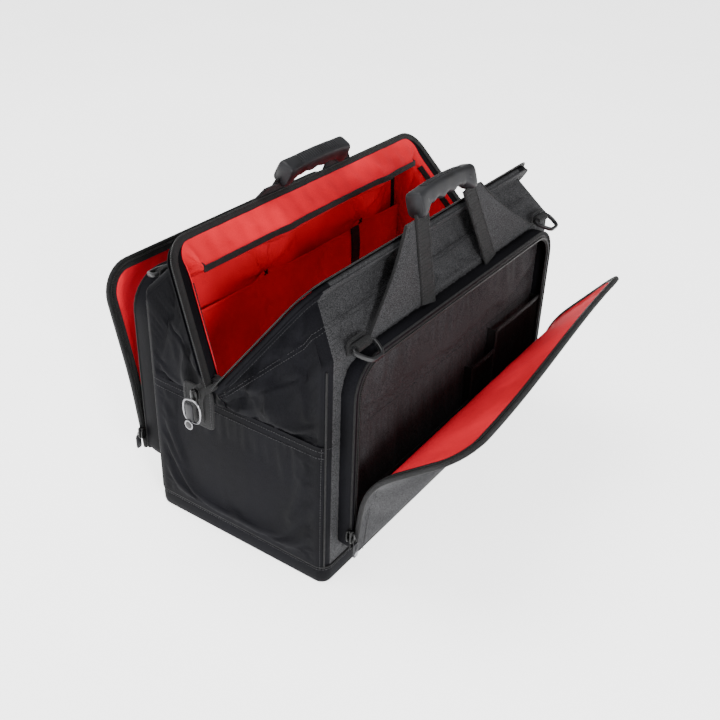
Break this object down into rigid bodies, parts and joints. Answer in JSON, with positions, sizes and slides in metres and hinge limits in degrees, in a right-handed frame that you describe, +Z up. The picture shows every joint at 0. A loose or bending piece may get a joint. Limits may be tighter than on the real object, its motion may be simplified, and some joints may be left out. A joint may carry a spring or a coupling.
{
  "type": "wide-mouth equipment holdall",
  "caption": "Soft-sided holdall with a hinged wire-framed mouth, folding flap pockets on both long sides, padded grips, D-rings and zipper sliders with hanging pulls.",
  "frame": {"origin": "centre of the base, on the face the bag stands on", "axes": "+X along the length, to the right seen from the front; -Y the front long side; +Z up"},
  "size_m": [0.6053, 0.5207, 0.4289],
  "materials": {
    "black_fabric": "woven polyester, charcoal black",
    "red_lining": "smooth woven lining, bright red",
    "mesh": "open knitted mesh, black",
    "webbing": "ribbed webbing and zipper tape, black",
    "black_plastic": "moulded, lightly textured",
    "grip_rubber": "soft moulded, dark grey",
    "black_metal": "black lacquered zinc",
    "nickel": "satin nickel plate",
    "steel": "black coated spring steel"
  },
  "bodies": {
    "bag": {"base_band": "black_fabric", "base_board": "black_plastic", "base_panel": "black_plastic", "body_lining": "red_lining", "d_ring_mounts": "webbing", "floor_pad": "black_fabric", "front_panel": "black_fabric", "front_pocket_wall": "black_fabric", "front_pocket_zip": "webbing", "front_upper_panel": "black_fabric", "inner_sleeve": "red_lining", "inner_sleeve_strap": "webbing", "left_end_panel": "black_fabric", "left_gusset_front": "black_fabric", "left_gusset_rear": "black_fabric", "pen_pouch": "mesh", "pivot_rivets": "steel", "pivot_tabs": "webbing", "rear_panel": "black_fabric", "rear_pocket_wall": "black_fabric", "rear_pocket_zip": "webbing", "rear_upper_panel": "black_fabric", "right_end_panel": "black_fabric", "right_gusset_front": "black_fabric", "right_gusset_rear": "black_fabric", "tall_pouch": "mesh", "wide_pouch": "mesh", "zip_park_patch": "webbing"},
    "front_frame": {"front_frame_bar": "steel", "front_mouth_sleeve": "black_fabric", "front_mouth_tape": "webbing"},
    "rear_frame": {"rear_frame_bar": "steel", "rear_mouth_sleeve": "black_fabric", "rear_mouth_tape": "webbing"},
    "main_slider": {"main_slider": "black_metal"},
    "main_pull_ring": {"main_pull_ring": "nickel"},
    "main_pull_tab": {"main_pull_tab": "grip_rubber", "main_pull_badge": "nickel"},
    "front_flap_lower": {"front_flap_lower_panel": "black_fabric", "front_flap_lower_lining": "red_lining"},
    "front_flap_upper": {"front_flap_upper_panel": "black_fabric", "front_flap_upper_lining": "red_lining"},
    "front_handle": {"front_handle_straps": "black_fabric", "front_grip": "grip_rubber"},
    "front_slider": {"front_slider": "black_metal"},
    "front_pull": {"front_pull": "grip_rubber"},
    "front_left_d_ring": {"front_left_d_ring": "black_plastic"},
    "front_right_d_ring": {"front_right_d_ring": "black_plastic"},
    "rear_flap_lower": {"rear_flap_lower_panel": "black_fabric", "rear_flap_lower_lining": "red_lining"},
    "rear_flap_upper": {"rear_flap_upper_panel": "black_fabric", "rear_flap_upper_lining": "red_lining"},
    "rear_handle": {"rear_handle_straps": "black_fabric", "rear_grip": "grip_rubber"},
    "rear_slider": {"rear_slider": "black_metal"},
    "rear_pull": {"rear_pull": "grip_rubber"},
    "rear_left_d_ring": {"rear_left_d_ring": "black_plastic"},
    "rear_right_d_ring": {"rear_right_d_ring": "black_plastic"}
  },
  "joints": [
    {"name": "front_frame_swing", "type": "hinge", "parent": "bag", "child": "front_frame", "pos_m": [0, 0, 0.243], "axis": [1, 0, 0], "range_deg": [-35.6, 0], "deforming": ["front_upper_panel", "left_gusset_front", "right_gusset_front"]},
    {"name": "rear_frame_swing", "type": "hinge", "parent": "bag", "child": "rear_frame", "pos_m": [0, 0, 0.243], "axis": [-1, 0, 0], "range_deg": [-35.6, 0], "deforming": ["rear_upper_panel", "left_gusset_rear", "right_gusset_rear"]},
    {"name": "front_flap_swing", "type": "hinge", "parent": "bag", "child": "front_flap_lower", "pos_m": [0, -0.1525, 0.05], "axis": [1, 0, 0], "range_deg": [-6, 50]},
    {"name": "front_flap_fold", "type": "hinge", "parent": "front_flap_lower", "child": "front_flap_upper", "pos_m": [0, -0.16892, 0.14883], "axis": [1, 0, 0], "range_deg": [-46, 12]},
    {"name": "front_handle_swing", "type": "hinge", "parent": "bag", "child": "front_handle", "pos_m": [0, -0.136, 0.303], "axis": [1, 0, 0], "range_deg": [-6, 77]},
    {"name": "front_left_d_ring_swing", "type": "hinge", "parent": "bag", "child": "front_left_d_ring", "pos_m": [-0.212, -0.14, 0.312], "axis": [-1, 0, 0], "range_deg": [0, 100]},
    {"name": "front_right_d_ring_swing", "type": "hinge", "parent": "bag", "child": "front_right_d_ring", "pos_m": [0.212, -0.14, 0.312], "axis": [-1, 0, 0], "range_deg": [0, 100]},
    {"name": "front_slider_run", "type": "slide", "parent": "bag", "child": "front_slider", "axis": [0, 0, 1], "range_m": [-0.012, 0.15]},
    {"name": "front_pull_swing", "type": "hinge", "parent": "front_slider", "child": "front_pull", "pos_m": [-0.2406, -0.15875, 0.076], "axis": [-1, 0, 0], "range_deg": [0, 80]},
    {"name": "rear_flap_swing", "type": "hinge", "parent": "bag", "child": "rear_flap_lower", "pos_m": [0, 0.1775, 0.05], "axis": [-1, 0, 0], "range_deg": [-8, 52]},
    {"name": "rear_flap_fold", "type": "hinge", "parent": "rear_flap_lower", "child": "rear_flap_upper", "pos_m": [0, 0.19736, 0.14819], "axis": [-1, 0, 0], "range_deg": [-6, 25]},
    {"name": "rear_handle_swing", "type": "hinge", "parent": "bag", "child": "rear_handle", "pos_m": [0, 0.136, 0.303], "axis": [-1, 0, 0], "range_deg": [0, 88]},
    {"name": "rear_left_d_ring_swing", "type": "hinge", "parent": "bag", "child": "rear_left_d_ring", "pos_m": [-0.212, 0.14, 0.312], "axis": [1, 0, 0], "range_deg": [0, 100]},
    {"name": "rear_right_d_ring_swing", "type": "hinge", "parent": "bag", "child": "rear_right_d_ring", "pos_m": [0.212, 0.14, 0.312], "axis": [1, 0, 0], "range_deg": [0, 100]},
    {"name": "rear_slider_run", "type": "slide", "parent": "bag", "child": "rear_slider", "axis": [0, 0, 1], "range_m": [-0.012, 0.15]},
    {"name": "rear_pull_swing", "type": "hinge", "parent": "rear_slider", "child": "rear_pull", "pos_m": [-0.2406, 0.18375, 0.076], "axis": [1, 0, 0], "range_deg": [0, 80]},
    {"name": "main_slider_run", "type": "slide", "parent": "bag", "child": "main_slider", "axis": [0, 0, 1], "range_m": [-0.012, 0]},
    {"name": "main_ring_swing", "type": "hinge", "parent": "main_slider", "child": "main_pull_ring", "pos_m": [-0.3064, 0.018, 0.2275], "axis": [0, 1, 0], "range_deg": [0, 80]},
    {"name": "main_tab_swing", "type": "hinge", "parent": "main_pull_ring", "child": "main_pull_tab", "pos_m": [-0.3102, 0.018, 0.224], "axis": [0, 1, 0], "range_deg": [0, 60]}
  ]
}
